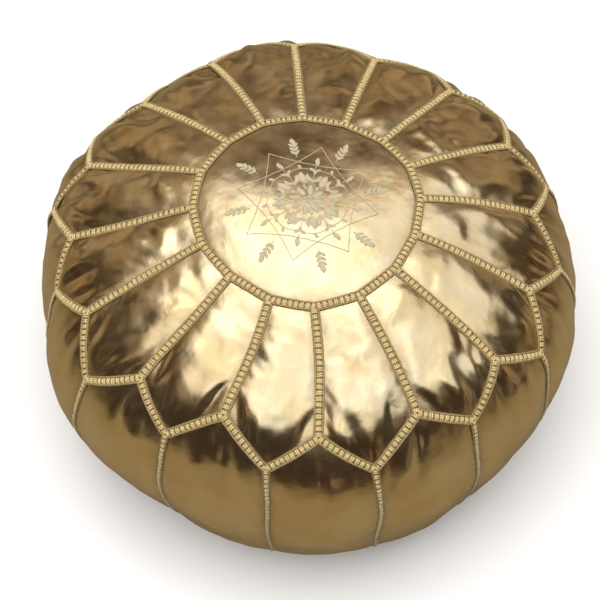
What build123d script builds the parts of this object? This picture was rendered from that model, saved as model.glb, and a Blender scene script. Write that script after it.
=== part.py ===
from build123d import *

import os
from math import atan2, cos, degrees, hypot, pi, radians, sin, sqrt, tan

# A stuffed, low round leather pouf.  Sixteen pointed crown petals meet a many-sided top disc, and
# sixteen side panels run from the zigzag seam down and under to a round base with a zip in it.
# The frame: +Z up, origin on the floor at the middle of the base, millimetres.

# ---- overall form ---------------------------------------------------------------------------
WIDTH = 520.0
HEIGHT = 313.0
EQUATOR_Z = 159.0
CROWN_R = 560.0
SHOULDER_R = 80.0
FLANK_R = 224.0
FOOT_R = 92.0
LEATHER = 1.6

# ---- cover pattern --------------------------------------------------------------------------
GORES = 16
PITCH = 360.0 / GORES
DISC_R = 102.0
VALLEY_R = 211.0
TIP_R = 237.5
BASE_SEAM_R = 176.0
BRAID_W = 6.0
BRAID_H = 2.2
BASE_BRAID_W = 5.0

# ---- embroidery on the top disc -------------------------------------------------------------
THREAD_H = 0.8
LINE_W = 1.4
STAR_R = 64.0
STAR_BEND_R = 41.0
STAR_TURN = -14.5
STAR_LEAF_R = 44.0
STAR_LEAF = (9.0, 4.0)
SPRIG_FROM_R = 52.0
SPRIG_TO_R = 72.0
SPRIG_LEAF = (6.5, 2.6)
SPRIG_LEAF_FROM = 4.0
SPRIG_LEAF_PITCH = 5.0
SPRIG_LEAF_PAIRS = 3
SPRIG_LEAF_ANGLE = 40.0
SPRIG_BUD = (9.0, 6.0)
SPRIG_BUD_OVERLAP = 2.0
ROSETTE_R = 32.0
ROSETTE_BUTTON_R = 4.5
ROSETTE_GAP = 1.5
ROSETTE_SMALL = (11.0, 6.0)
ROSETTE_LARGE = (13.0, 9.0)
EMBROIDERY_POINTS = 8

# ---- zip in the base ------------------------------------------------------------------------
CHANNEL_HALF_L = 142.0
CHANNEL_HALF_W = 22.0
CHANNEL_DEPTH = 6.0
CHANNEL_CORNER_R = 12.0
CHANNEL_SLOPE = 33.0
SLOT_HALF_W = 6.5
SLOT_HALF_L = 124.0
TAPE_T = 0.6
TAPE_IN = 2.0
TAPE_OUT = 14.0
TAPE_HALF_L = 128.0
TOOTH_PITCH = 2.5
TOOTH_LEN = 1.1
TOOTH_T = 2.6
TOOTH_REACH = 1.2
TOOTH_ROOT = 2.9
CHAIN_FROM_Y = -116.0
CHAIN_TO_Y = 110.0
STOP_IN = 1.0
STOP_OUT = 3.4
TOP_STOP_L = 2.4
BOTTOM_STOP_L = 3.0
STOP_GAP = 0.7
SLIDER_REST_Y = 110.0
SLIDER_L = 11.0
SLIDER_HALF_W = 4.8
SLIDER_WALL = 1.2
SLIDER_CORNER_R = 1.0
SLIDER_SLIT = 0.7
POST_L = 3.9
POST_HALF_W = 1.1
POST_NOSE_HALF_W = 0.7
POST_WIDEST_AT = 0.4
PLATE_T = 1.0
PLATE_GAP = 0.4
BAIL_DROP = 3.8
BAIL_T = 1.2
BAIL_CORNER_R = 1.6
BAIL_HALF_W = 0.8
BAIL_HALF_L = 3.8
PULL_T = 1.2
PULL_HALF_W = 3.2
PULL_EYE_HALF_W = 1.6
PULL_EYE_L = 4.8
PULL_BAR_SEAT = 0.4
PULL_L = 28.0
PULL_CORNER_R = 2.2
PULL_HOLE_R = 1.3
PULL_HOLE_INSET = 4.0
STITCH_L = 2.4
STITCH_PITCH = 4.0
STITCH_W = 0.8
STITCH_H = 0.5
STITCH_X = 9.0

# ---- inside ---------------------------------------------------------------------------------
BAG_GAP = 0.4
BAG_T = 0.8
ZIP_CLEAR_H = 5.0

FLANGE_Z = CHANNEL_DEPTH + LEATHER
CHAIN_Z = FLANGE_Z + TAPE_T / 2
PLATE_LOW_TOP = CHAIN_Z - TOOTH_T / 2 - PLATE_GAP
PLATE_HIGH_BOTTOM = CHAIN_Z + TOOTH_T / 2 + PLATE_GAP
PULL_Z = PLATE_LOW_TOP - PLATE_T - (BAIL_DROP - BAIL_T) / 2
APOTHEM = DISC_R * cos(radians(PITCH / 2))
FAR = 400.0


# ---- the outline of the body, as tangent arcs about shared centres --------------------------
def tangent_centre(c1, r1, c2, r2):
    """The outer of the two points at distance r1 from c1 and r2 from c2, in the r-z plane."""
    gap = hypot(c2[0] - c1[0], c2[1] - c1[1])
    along = (r1 * r1 - r2 * r2 + gap * gap) / (2 * gap)
    off = sqrt(r1 * r1 - along * along)
    ux = (c2[0] - c1[0]) / gap
    uz = (c2[1] - c1[1]) / gap
    mid = (c1[0] + along * ux, c1[1] + along * uz)
    return max((mid[0] - off * uz, mid[1] + off * ux), (mid[0] + off * uz, mid[1] - off * ux))


def heading(a, b):
    """The direction from a to b as an angle in the r-z plane, in radians."""
    return atan2(b[1] - a[1], b[0] - a[0])


CROWN_C = (0.0, HEIGHT - CROWN_R)
FLANK_C = (WIDTH / 2 - FLANK_R, EQUATOR_Z)
SHOULDER_C = tangent_centre(CROWN_C, CROWN_R - SHOULDER_R, FLANK_C, FLANK_R - SHOULDER_R)
FOOT_C = (FLANK_C[0] + sqrt((FLANK_R - FOOT_R) ** 2 - (EQUATOR_Z - FOOT_R) ** 2), FOOT_R)
CROWN_END = heading(CROWN_C, SHOULDER_C)
SHOULDER_END = heading(FLANK_C, SHOULDER_C)
FLANK_END = heading(FLANK_C, FOOT_C)


def arc(centre, radius, start, end):
    """An arc in the XZ plane about a centre, between two angles in radians."""
    spots = [start, (start + end) / 2, end]
    return ThreePointArc(*[(centre[0] + radius * cos(a), 0, centre[1] + radius * sin(a)) for a in spots])


def outline(grow):
    """Half of the body's section, moved outwards by grow all round: a face beside the Z axis."""
    crown = arc(CROWN_C, CROWN_R + grow, pi / 2, CROWN_END)
    shoulder = arc(SHOULDER_C, SHOULDER_R + grow, CROWN_END, SHOULDER_END)
    flank = arc(FLANK_C, FLANK_R + grow, SHOULDER_END, FLANK_END)
    foot = arc(FOOT_C, FOOT_R + grow, FLANK_END, -pi / 2)
    under = Line(foot @ 1, (0, 0, -grow))
    axis = Line((0, 0, -grow), crown @ 0)
    return make_face([crown, shoulder, flank, foot, under, axis])


def body(grow):
    """The whole body, moved outwards by grow."""
    return revolve(outline(grow), Axis.Z)


def layer(outer, inner, arc_degrees=360.0):
    """A skin between two offsets of the body, over a sector centred on the XZ plane."""
    section = outline(outer) - outline(inner)
    skin = revolve(section, Axis.Z, revolution_arc=arc_degrees)
    return Rot(0, 0, -arc_degrees / 2) * skin


def shoulder_point(radius, azimuth):
    """A point of the outer surface on the shoulder arc, at that distance from the Z axis."""
    z = SHOULDER_C[1] + sqrt(SHOULDER_R**2 - (radius - SHOULDER_C[0]) ** 2)
    a = radians(azimuth)
    return Vector(radius * cos(a), radius * sin(a), z)


# ---- cutting tools --------------------------------------------------------------------------
def seam_plane(valley_azimuth, tip_azimuth, lift=0.0):
    """The plane of one stretch of the zigzag seam, with its normal upwards, moved along it by lift."""
    centre = Vector(0, 0, EQUATOR_Z)
    valley = shoulder_point(VALLEY_R, valley_azimuth) - centre
    tip = shoulder_point(TIP_R, tip_azimuth) - centre
    normal = valley.cross(tip).normalized()
    if normal.Z < 0:
        normal = -normal
    return Plane(origin=centre + normal * lift, z_dir=normal)


def cut(shape, plane, keep):
    """The part of the shape on one side of the plane."""
    return split(shape, bisect_by=plane, keep=keep)


def block(x0, x1, y0, y1, z0, z1):
    """A box between two corners."""
    return Pos((x0 + x1) / 2, (y0 + y1) / 2, (z0 + z1) / 2) * Box(x1 - x0, y1 - y0, z1 - z0)


def ring_prism(apothem):
    """A sixteen-sided prism about the Z axis with its corners at the radial seams."""
    return extrude(RegularPolygon(apothem, GORES, major_radius=False), FAR)


def channel(grow, z0, height):
    """The tapered block of the zip's channel, with walls moved outwards by grow."""
    spread = tan(radians(CHANNEL_SLOPE)) * -z0
    width = 2 * (CHANNEL_HALF_W + grow + spread)
    length = 2 * (CHANNEL_HALF_L + grow + spread)
    foot = Pos(0, 0, z0) * RectangleRounded(width, length, CHANNEL_CORNER_R + grow)
    return extrude(foot, height - z0, taper=CHANNEL_SLOPE)


# ---- cover panels ---------------------------------------------------------------------------
def crown_petal():
    """One petal, with its tip on the XZ plane."""
    petal = layer(0, -LEATHER, PITCH) & block(APOTHEM, FAR, -FAR, FAR, EQUATOR_Z, FAR)
    for valley in (PITCH / 2, -PITCH / 2):
        petal = cut(petal, seam_plane(valley, 0), Keep.TOP)
    return petal


def side_panel():
    """One side panel, with its peak on the XZ plane, down to the base seam."""
    panel = layer(0, -LEATHER, PITCH)
    for tip in (PITCH / 2, -PITCH / 2):
        panel = cut(panel, seam_plane(0, tip), Keep.BOTTOM)
    core = Pos(0, 0, FAR / 2 - 1) * Cylinder(BASE_SEAM_R, FAR)
    return panel - core


def base_panels():
    """The base, left and right of the zip: a flat round with a pressed channel for the zip."""
    core = Pos(0, 0, EQUATOR_Z / 2 - 1) * Cylinder(BASE_SEAM_R, EQUATOR_Z)
    whole = (layer(0, -LEATHER) & core) + channel(LEATHER, 0, FLANGE_Z)
    whole -= channel(0, -1, CHANNEL_DEPTH)
    whole -= block(-SLOT_HALF_W, SLOT_HALF_W, -SLOT_HALF_L, SLOT_HALF_L, 0, FLANGE_Z + 1)
    halves = {"left": Keep.BOTTOM, "right": Keep.TOP}
    return {side: cut(whole, Plane.YZ, keep) for side, keep in halves.items()}


# ---- braids over the seams ------------------------------------------------------------------
def disc_ring_braid():
    """The braid around the top disc."""
    half = BRAID_W / 2
    ring = ring_prism(APOTHEM + half) - ring_prism(APOTHEM - half)
    return layer(BRAID_H, 0) & (ring & block(-FAR, FAR, -FAR, FAR, EQUATOR_Z, FAR))


def radial_braid():
    """The braid over one radial seam, on the XZ plane."""
    half = BRAID_W / 2
    strip = block(0, TIP_R, -half, half, EQUATOR_Z, FAR) - ring_prism(APOTHEM + half)
    under_zigzag = block(0, FAR, -FAR, FAR, -FAR, FAR)
    for tip in (PITCH / 2, -PITCH / 2):
        under_zigzag = cut(under_zigzag, seam_plane(0, tip, half), Keep.BOTTOM)
    return layer(BRAID_H, 0, PITCH) & (strip - under_zigzag)


def zigzag_braid():
    """The braid around one petal's point: two stretches that meet on the XZ plane."""
    half = BRAID_W / 2
    skin = layer(BRAID_H, 0, PITCH)
    stretches = []
    for valley, keep in ((PITCH / 2, Keep.BOTTOM), (-PITCH / 2, Keep.TOP)):
        stretch = cut(skin, Plane.XZ, keep)
        stretch = cut(stretch, seam_plane(valley, 0, half), Keep.BOTTOM)
        stretches.append(cut(stretch, seam_plane(valley, 0, -half), Keep.TOP))
    return stretches[0] + stretches[1]


def side_braid():
    """The braid down one side seam, on the XZ plane, from a petal's point to the base seam."""
    half = BRAID_W / 2
    strip = block(BASE_SEAM_R + BASE_BRAID_W / 2, FAR, -half, half, -BRAID_H, FAR)
    over_zigzag = block(0, FAR, -FAR, FAR, -FAR, FAR)
    for valley in (PITCH / 2, -PITCH / 2):
        over_zigzag = cut(over_zigzag, seam_plane(valley, 0, -half), Keep.TOP)
    return layer(BRAID_H, 0, PITCH) & (strip - over_zigzag)


def base_seam_braid():
    """The braid around the base seam, under the body."""
    half = BASE_BRAID_W / 2
    tube = Cylinder(BASE_SEAM_R + half, EQUATOR_Z) - Cylinder(BASE_SEAM_R - half, EQUATOR_Z)
    return layer(BRAID_H, 0) & tube


def around(shape, start=0.0):
    """Copies of a shape at every gore, the first turned by start degrees."""
    return [Rot(0, 0, start + k * PITCH) * shape for k in range(GORES)]


# ---- embroidery -----------------------------------------------------------------------------
def disc_thread(sketch):
    """A sketch laid on the top disc as thread of even height."""
    outer = Pos(0, 0, CROWN_C[1]) * Sphere(CROWN_R + THREAD_H)
    inner = Pos(0, 0, CROWN_C[1]) * Sphere(CROWN_R)
    prism = Pos(0, 0, HEIGHT - SHOULDER_R) * extrude(sketch, 2 * SHOULDER_R)
    return (prism & outer) - inner


def polar(radius, azimuth):
    """A point of the disc's plan."""
    return (radius * cos(radians(azimuth)), radius * sin(radians(azimuth)))


def leaf(length, width):
    """A pointed leaf along +X from the origin."""
    swell = ThreePointArc((0, 0), (length / 2, width / 2), (length, 0))
    back = ThreePointArc((length, 0), (length / 2, -width / 2), (0, 0))
    return make_face([swell, back])


def placed(sketch, radius, azimuth):
    """A sketch moved out along an azimuth."""
    return Rot(0, 0, azimuth) * (Pos(radius, 0) * sketch)


def star_embroidery():
    """Two four-pointed stars with hollow sides, an eighth of a turn apart, and a leaf in each point."""
    parts = []
    for first in (STAR_TURN, STAR_TURN + 45):
        corners = []
        for k in range(4):
            corners.append(polar(STAR_R, first + 90 * k))
            corners.append(polar(STAR_BEND_R, first + 90 * k + 45))
        parts.append(trace(Polyline(*corners, close=True), LINE_W))
    thread = parts[0] + parts[1]
    points = range(EMBROIDERY_POINTS)
    return thread + [placed(leaf(*STAR_LEAF), STAR_LEAF_R, STAR_TURN + 45 * k) for k in points]


def sprig_embroidery():
    """A sprig between each two star points: a stem, paired leaves and a bud."""
    stem_l = SPRIG_TO_R - SPRIG_FROM_R
    sprig = Pos(stem_l / 2, 0) * Rectangle(stem_l, LINE_W)
    for step in range(SPRIG_LEAF_PAIRS):
        for angle in (SPRIG_LEAF_ANGLE, -SPRIG_LEAF_ANGLE):
            out = SPRIG_LEAF_FROM + SPRIG_LEAF_PITCH * step
            sprig += Pos(out, 0) * (Rot(0, 0, angle) * leaf(*SPRIG_LEAF))
    sprig += Pos(stem_l - SPRIG_BUD_OVERLAP, 0) * leaf(*SPRIG_BUD)
    turns = [STAR_TURN + 22.5 + 45 * k for k in range(EMBROIDERY_POINTS)]
    return [placed(sprig, SPRIG_FROM_R, turn) for turn in turns]


def rosette_embroidery():
    """The flower in the middle: a button, eight small petals and eight large ones around them."""
    small_r = ROSETTE_BUTTON_R + ROSETTE_GAP
    large_r = ROSETTE_R - ROSETTE_LARGE[0]
    flower = [Circle(ROSETTE_BUTTON_R)]
    for k in range(EMBROIDERY_POINTS):
        flower.append(placed(leaf(*ROSETTE_SMALL), small_r, 45 * k))
        flower.append(placed(leaf(*ROSETTE_LARGE), large_r, 22.5 + 45 * k))
    return flower


# ---- zip ------------------------------------------------------------------------------------
def zip_tape(side):
    """One tape, on the inner face of the base beside the slot; side is -1 or 1."""
    x0, x1 = sorted((side * TAPE_IN, side * TAPE_OUT))
    return block(x0, x1, -TAPE_HALF_L, TAPE_HALF_L, FLANGE_Z, FLANGE_Z + TAPE_T)


def zip_teeth(side):
    """One row of teeth, each clamped on the tape's edge; the rows interlock."""
    half = TOOTH_T / 2
    slit = TAPE_T / 2
    outline_xz = Polyline(
        (-TOOTH_REACH, -half),
        (TOOTH_ROOT, -half),
        (TOOTH_ROOT, -slit),
        (TAPE_IN, -slit),
        (TAPE_IN, slit),
        (TOOTH_ROOT, slit),
        (TOOTH_ROOT, half),
        (-TOOTH_REACH, half),
        close=True,
    )
    tooth = extrude(Plane.XZ * make_face(outline_xz), TOOTH_LEN / 2, both=True)
    if side < 0:
        tooth = mirror(tooth, Plane.YZ)
    start = CHAIN_FROM_Y + (TOOTH_PITCH / 2 if side < 0 else 0)
    count = int((CHAIN_TO_Y - start) / TOOTH_PITCH) + 1
    return [Pos(0, start + k * TOOTH_PITCH, CHAIN_Z) * tooth for k in range(count)]


def zip_stops():
    """The clamps at the ends of the chain: two small ones at the closed end, a wide one at the other."""
    low = CHAIN_Z - TOOTH_T / 2
    high = CHAIN_Z + TOOTH_T / 2
    slit = {side: zip_tape(side) for side in (-1, 1)}
    top_y = SLIDER_REST_Y + SLIDER_L / 2 + STOP_GAP
    clamp = block(STOP_IN, STOP_OUT, top_y, top_y + TOP_STOP_L, low, high)
    tops = [clamp - slit[1], mirror(clamp, Plane.YZ) - slit[-1]]
    bottom_y = CHAIN_FROM_Y - TOOTH_LEN
    bottom = block(-STOP_OUT, STOP_OUT, bottom_y - BOTTOM_STOP_L, bottom_y, low, high)
    return tops, bottom - slit[-1] - slit[1]


def zip_slider():
    """The slider at the closed end: two plates, side walls, the post between the rows, and the bail."""
    low = PLATE_LOW_TOP - PLATE_T
    high = PLATE_HIGH_BOTTOM + PLATE_T
    y0 = SLIDER_REST_Y - SLIDER_L / 2
    y1 = SLIDER_REST_Y + SLIDER_L / 2
    wall_x = SLIDER_HALF_W - SLIDER_WALL
    shape = block(-SLIDER_HALF_W, SLIDER_HALF_W, y0, y1, low, PLATE_LOW_TOP)
    shape += block(-SLIDER_HALF_W, SLIDER_HALF_W, y0, y1, PLATE_HIGH_BOTTOM, high)
    for side in (-1, 1):
        x0, x1 = sorted((side * wall_x, side * SLIDER_HALF_W))
        shape += block(x0, x1, y0, y1, PLATE_LOW_TOP, CHAIN_Z - SLIDER_SLIT)
        shape += block(x0, x1, y0, y1, CHAIN_Z + SLIDER_SLIT, PLATE_HIGH_BOTTOM)
    uprights = shape.edges().filter_by(Axis.Z)
    shape = fillet(uprights.filter_by(lambda e: abs(e.center().X) > wall_x + SLIDER_WALL / 2), SLIDER_CORNER_R)
    nose_y = y1 - STOP_GAP / 2
    wide_y = nose_y - POST_L * POST_WIDEST_AT
    tip = (0, nose_y - POST_L)
    right = [(POST_HALF_W, wide_y), (POST_NOSE_HALF_W, nose_y)]
    left = [(-POST_NOSE_HALF_W, nose_y), (-POST_HALF_W, wide_y)]
    post = make_face(Polyline(tip, *right, *left, close=True))
    shape += Pos(0, 0, PLATE_LOW_TOP) * extrude(post, PLATE_HIGH_BOTTOM - PLATE_LOW_TOP)
    return shape + slider_bail(low)


def slider_bail(z):
    """The arch under the slider that the pull tab hangs on, from its lower plate's face at z."""
    eye_half = BAIL_HALF_L - BAIL_T
    arch = block(-BAIL_HALF_W, BAIL_HALF_W, -BAIL_HALF_L, BAIL_HALF_L, z - BAIL_DROP, z)
    arch = fillet(arch.edges().filter_by(Axis.X).sort_by(Axis.Z)[:2], BAIL_CORNER_R)
    arch -= block(-BAIL_HALF_W, BAIL_HALF_W, -eye_half, eye_half, z - BAIL_DROP + BAIL_T, z)
    return Pos(0, SLIDER_REST_Y, 0) * arch


def zip_pull_tab():
    """The pull tab lying flat along the chain, hung on the bail by the round bar at its end."""
    bar_r = PULL_T / 2
    blank = Pos(0, bar_r - PULL_L / 2) * RectangleRounded(2 * PULL_HALF_W, PULL_L, PULL_CORNER_R)
    eye_l = PULL_T + PULL_EYE_L
    eye = Pos(0, bar_r - eye_l / 2) * Rectangle(2 * PULL_EYE_HALF_W, eye_l)
    hole = Pos(0, bar_r - PULL_L + PULL_HOLE_INSET) * Circle(PULL_HOLE_R)
    tab = extrude(blank - eye - hole, PULL_T / 2, both=True)
    tab += Rot(0, 90, 0) * Cylinder(bar_r, 2 * (PULL_EYE_HALF_W + PULL_BAR_SEAT))
    return Pos(0, SLIDER_REST_Y, PULL_Z) * tab


def zip_stitches():
    """The stitches that hold each tape to the base, standing on the outer face beside the slot."""
    span = 2 * SLOT_HALF_L
    count = int(span / STITCH_PITCH)
    half_w, half_l = STITCH_W / 2, STITCH_L / 2
    stitch = block(-half_w, half_w, -half_l, half_l, CHANNEL_DEPTH - STITCH_H, CHANNEL_DEPTH)
    first = -(count - 1) * STITCH_PITCH / 2
    spots = [(side * STITCH_X, first + k * STITCH_PITCH) for side in (-1, 1) for k in range(count)]
    return [Pos(x, y, 0) * stitch for x, y in spots]


# ---- inside ---------------------------------------------------------------------------------
def bag_solid(inset):
    """The room inside the cover, less the zip's channel, moved inwards by inset."""
    return body(-inset) - channel(inset, -1, FLANGE_Z + ZIP_CLEAR_H + inset - LEATHER)


def write(name, shape):
    """Writes one node; a list becomes a group of separate solids."""
    shapes = shape if isinstance(shape, list) else [shape]
    solids = [solid for piece in shapes for solid in piece.solids()]
    export_step(solids[0] if len(solids) == 1 else Compound(children=solids), f"parts/{name}.step")


def main():
    os.makedirs("parts", exist_ok=True)

    disc = layer(0, -LEATHER) & (ring_prism(APOTHEM) & block(-FAR, FAR, -FAR, FAR, EQUATOR_Z, FAR))
    write("top_disc", disc)
    for k, petal in enumerate(around(crown_petal(), PITCH / 2)):
        write(f"crown_petal_{k + 1:02d}", petal)
    for k, panel in enumerate(around(side_panel())):
        write(f"side_panel_{k + 1:02d}", panel)
    for side, half in base_panels().items():
        write(f"base_panel_{side}", half)

    write("disc_ring_braid", disc_ring_braid())
    write("radial_braids", around(radial_braid()))
    write("zigzag_braids", around(zigzag_braid(), PITCH / 2))
    write("side_braids", around(side_braid(), PITCH / 2))
    write("base_seam_braid", base_seam_braid())

    write("star_embroidery", disc_thread(star_embroidery()))
    write("sprig_embroidery", [disc_thread(s) for s in sprig_embroidery()])
    write("rosette_embroidery", [disc_thread(s) for s in rosette_embroidery()])

    for side, sign in (("left", -1), ("right", 1)):
        write(f"zip_tape_{side}", zip_tape(sign))
        write(f"zip_teeth_{side}", zip_teeth(sign))
    tops, bottom = zip_stops()
    write("zip_top_stops", tops)
    write("zip_bottom_stop", bottom)
    write("zip_slider", zip_slider())
    write("zip_pull_tab", zip_pull_tab())
    write("zip_stitches", zip_stitches())

    bag_outer = LEATHER + BAG_GAP
    bag_inner = bag_outer + BAG_T
    write("inner_bag", bag_solid(bag_outer) - bag_solid(bag_inner))
    write("stuffing", bag_solid(bag_inner + BAG_GAP))


main()
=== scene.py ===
from collections import namedtuple
from math import atan2, cos, dist, pi, radians, sin, sqrt

import bpy
import numpy as np
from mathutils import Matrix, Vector, noise
from mathutils.bvhtree import BVHTree


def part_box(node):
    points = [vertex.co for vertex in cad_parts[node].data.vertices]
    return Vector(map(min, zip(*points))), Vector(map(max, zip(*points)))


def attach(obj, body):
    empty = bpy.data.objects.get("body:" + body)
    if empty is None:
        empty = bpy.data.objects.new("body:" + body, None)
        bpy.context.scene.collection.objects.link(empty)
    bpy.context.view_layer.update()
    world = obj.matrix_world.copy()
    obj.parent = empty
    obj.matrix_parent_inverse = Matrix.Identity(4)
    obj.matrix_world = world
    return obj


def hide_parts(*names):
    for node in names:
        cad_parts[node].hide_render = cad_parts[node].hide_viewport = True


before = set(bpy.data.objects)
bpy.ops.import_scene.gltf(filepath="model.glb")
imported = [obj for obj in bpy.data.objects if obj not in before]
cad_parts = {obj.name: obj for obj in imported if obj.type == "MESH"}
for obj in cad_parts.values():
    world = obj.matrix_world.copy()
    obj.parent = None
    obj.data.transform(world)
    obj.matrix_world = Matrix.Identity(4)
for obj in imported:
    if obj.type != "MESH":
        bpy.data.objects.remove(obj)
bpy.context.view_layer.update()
scene = bpy.context.scene

# A stuffed gold-leather pouf: puffed petals and side panels, braids over their seams, embroidery on the
# top disc, and a base with a zip.  Metres, in the CAD's frame.

# ---- the body's outline and the cover's pattern, as the CAD has them ----
GORES = 16
PITCH = 2 * pi / GORES
HALF = PITCH / 2
WIDE_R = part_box("side_panel_01")[1].x
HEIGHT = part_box("top_disc")[1].z
DISC_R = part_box("top_disc")[1].x
BASE_R = -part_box("base_panel_left")[0].x
EQUATOR_Z = 0.159
CROWN_R = 0.560
SHOULDER_R = 0.080
FLANK_R = 0.224
FOOT_R = 0.092
VALLEY_R = 0.211
TIP_R = 0.2375
LEATHER = 0.0016
CHANNEL_HALF_L = 0.142
CHANNEL_HALF_W = 0.022
CHANNEL_DEPTH = 0.006
CHANNEL_CORNER_R = 0.012
SLOT_HALF_W = 0.0065
SLOT_HALF_L = 0.124

# ---- the hand-made look ----
SEAM_SINK = 0.0024
SEAM_GAP = 0.0010
TURN_IN = 0.0045
RING_ROUNDNESS = 0.35
FLOOR_GAP = 0.0002
# The crown has slipped outwards a little on one side, by up to this much.
SLIP = 0.010
SLIP_WAY = radians(140)
SLIP_SPREAD = radians(52)
# Waves round the body: how many, how high, and their turn in degrees.
LUMPS = ((3, 0.0009, 126), (4, 0.0011, -24), (5, 0.0012, 4), (6, 0.0025, 162), (7, 0.0016, -26))
WOBBLE = 0.0022
WOBBLE_WAVES = 10
WOBBLE_LENGTHS = (0.10, 0.22)
# The wobble is whole above this height, and on the floor this share of its sideways part is left.
WOBBLE_FREE_Z = 0.05
FLOOR_SHARE = 0.35
SEED = 16

# ---- the cloth simulation ----
SIM_FRAMES = 18
SEWN_BY = 8
PETAL_GRID = (46, 28)
SIDE_GRID = (72, 32)
# Above 1, the rows of a side panel's grid are closer together near the top, where the folds are.
SIDE_CROWDED = 1.3
DISC_GRID = 57
CLOTH = {
    "quality": 5,
    "mass": 0.3,
    "tension_stiffness": 30,
    "compression_stiffness": 30,
    "shear_stiffness": 15,
    "bending_stiffness": 20,
    "use_pressure": True,
    "uniform_pressure_force": 300,
}
# Spare leather across and down a panel, at its top and at its bottom, as shares of its size.
PETAL_SPARE = ((0.004, 0.070), (0.003, 0.028))
SIDE_SPARE = ((0.060, 0.010), (0.030, 0.004))
DISC_SPARE = 0.003
# Where the top's spare leather gives way to the bottom's, as shares of the way down.
PETAL_CHANGE_FROM = 0.2
PETAL_CHANGE_OVER = 0.7
SIDE_CHANGE_OVER = 0.4
# How far each panel may swell.  Petals 5 to 9, at the back left, are puffed up the most.
PETAL_SWELLS = [0.0040] * 4 + [0.0080] + [0.0095] * 3 + [0.0070] + [0.0040] * 7
SIDE_SWELL = 0.0052
DISC_SWELL = 0.0002
# How wide a fold starts, as a share of its width, how much it fans out, and how it dies away.
FOLD_START = 0.7
FOLD_FAN = 0.8
FOLD_FADE = 1.3
# How much a panel's own folds are raised, and the most that they stand out.
RELIEF = 1.4
FOLD_LIMIT = 0.0045
SWELL_STEPS = 60
PUCKER_STEPS = 3
# Dents pressed in by hands and sitters: how many to a metre, and how deep.
DENTS = ((24, 0.0017), (60, 0.0008))
DISC_DENTS = 0.3
RIPPLE = 0.0010
RIPPLE_SCALE = 28
# How far from its edges a panel is soiled and darkened with painted shade.
SOIL_AND_SHADE_REACH = 0.0035

# ---- thread ----
BRAID_SEAT = -0.0007
BRAID_W = 0.0064
RUNG_PITCH = 0.0050
RUNG_STRANDS = 2
STRAND_PITCH = 0.0017
STRAND_R = 0.00095
RUNG_DROP = 0.0015
RAIL_R = 0.00095
# Painted shade: the bed and the rails, shut in under the rungs, are painted with this shade.
SHUT_IN_SHADE = 0.42
# How far outside the rungs' ends a rail runs, in its radii, and how far it thickens and thins.
RAIL_OFF = 0.2
RAIL_PULSE = 0.12
# How deep the rails and the bed lie, as shares of the drop of the rungs' ends.
RAIL_DROP = 0.6
BED_DROP = 1.15
BED_H = 0.0006
# A thread at or below this shade is painted wholly in its painted-shade colour.
LEAST_SHADE = 0.25
# How unevenly the rungs are worked: their slow wander and its turn for each rung, and the spreads of
# their places, slants and sizes.
RUNG_WANDER = 0.0003
WANDER_TURN = 0.37
RUNG_SLIP = 0.00012
STRAND_SLIP = 0.00010
RUNG_SLANT = 0.07
RUNG_WIDTHS = (0.95, 1.05)
STRAND_SIZES = (0.93, 1.08)
# How round a rung's arch is, and how much its ends taper.
RUNG_ARCH = 2.2
RUNG_TAPER = 0.75
# The side braids are narrower, deeper in and darker with painted shade towards the floor, and so is the
# base's.
SIDE_BRAID_W = (0.0050, 0.0036, 0.0030)
SIDE_BRAID_SEAT = (-0.0007, -0.0030)
SIDE_BRAID_SHADE = (0.9, 0.28)
BASE_BRAID_W = (0.0042, 0.0042)
BASE_BRAID_SHADE = (0.4, 0.4)
STITCH_L = 0.0024
STITCH_R = 0.00042
# A stitch's height at its middle and depth at its ends, in radii, and the size of its ends.
STITCH_ARCH = 1.1
STITCH_TUCK = 0.25
STITCH_END = 0.62
STITCH_SIZES = (0.9, 1.1)
STITCH_SLIP = 0.00012


# ---- the outline ----
def outer_crossing(c1, r1, c2, r2):
    """The outer of the two points at distance r1 from c1 and r2 from c2, in the r-z plane."""
    gap = dist(c1, c2)
    along = (r1 * r1 - r2 * r2 + gap * gap) / (2 * gap)
    off = sqrt(r1 * r1 - along * along)
    ux, uz = (c2[0] - c1[0]) / gap, (c2[1] - c1[1]) / gap
    mx, mz = c1[0] + along * ux, c1[1] + along * uz
    return max((mx - off * uz, mz + off * ux), (mx + off * uz, mz - off * ux))


def heading(a, b):
    return atan2(b[1] - a[1], b[0] - a[0])


CROWN_C = (0.0, HEIGHT - CROWN_R)
FLANK_C = (WIDE_R - FLANK_R, EQUATOR_Z)
SHOULDER_C = outer_crossing(CROWN_C, CROWN_R - SHOULDER_R, FLANK_C, FLANK_R - SHOULDER_R)
FOOT_C = (FLANK_C[0] + sqrt((FLANK_R - FOOT_R) ** 2 - (EQUATOR_Z - FOOT_R) ** 2), FOOT_R)
CENTRES = (CROWN_C, SHOULDER_C, FLANK_C, FOOT_C)
RADII = (CROWN_R, SHOULDER_R, FLANK_R, FOOT_R)
JOINS = heading(CROWN_C, SHOULDER_C), heading(FLANK_C, SHOULDER_C), heading(FLANK_C, FOOT_C)
TURNS = (pi / 2, *JOINS, -pi / 2)
ARCS = list(zip(CENTRES, RADII, TURNS, TURNS[1:]))
ARC_LENGTHS = [radius * (a0 - a1) for _, radius, a0, a1 in ARCS]


def section(s):
    """(distance from the axis, height, tilt of the outward normal) at length s down the outline."""
    s = np.asarray(s, float)
    r, z, tilt = np.zeros_like(s), np.zeros_like(s), np.zeros_like(s)
    start = 0.0
    for (centre, radius, a0, _), length in zip(ARCS, ARC_LENGTHS):
        here = s >= start
        a = a0 - (s - start) / radius
        r = np.where(here, centre[0] + radius * np.cos(a), r)
        z = np.where(here, centre[1] + radius * np.sin(a), z)
        tilt = np.where(here, a, tilt)
        start += length
    flat = s >= start
    r = np.where(flat, FOOT_C[0] - (s - start), r)
    return r, np.where(flat, 0.0, z), np.where(flat, -pi / 2, tilt)


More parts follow.
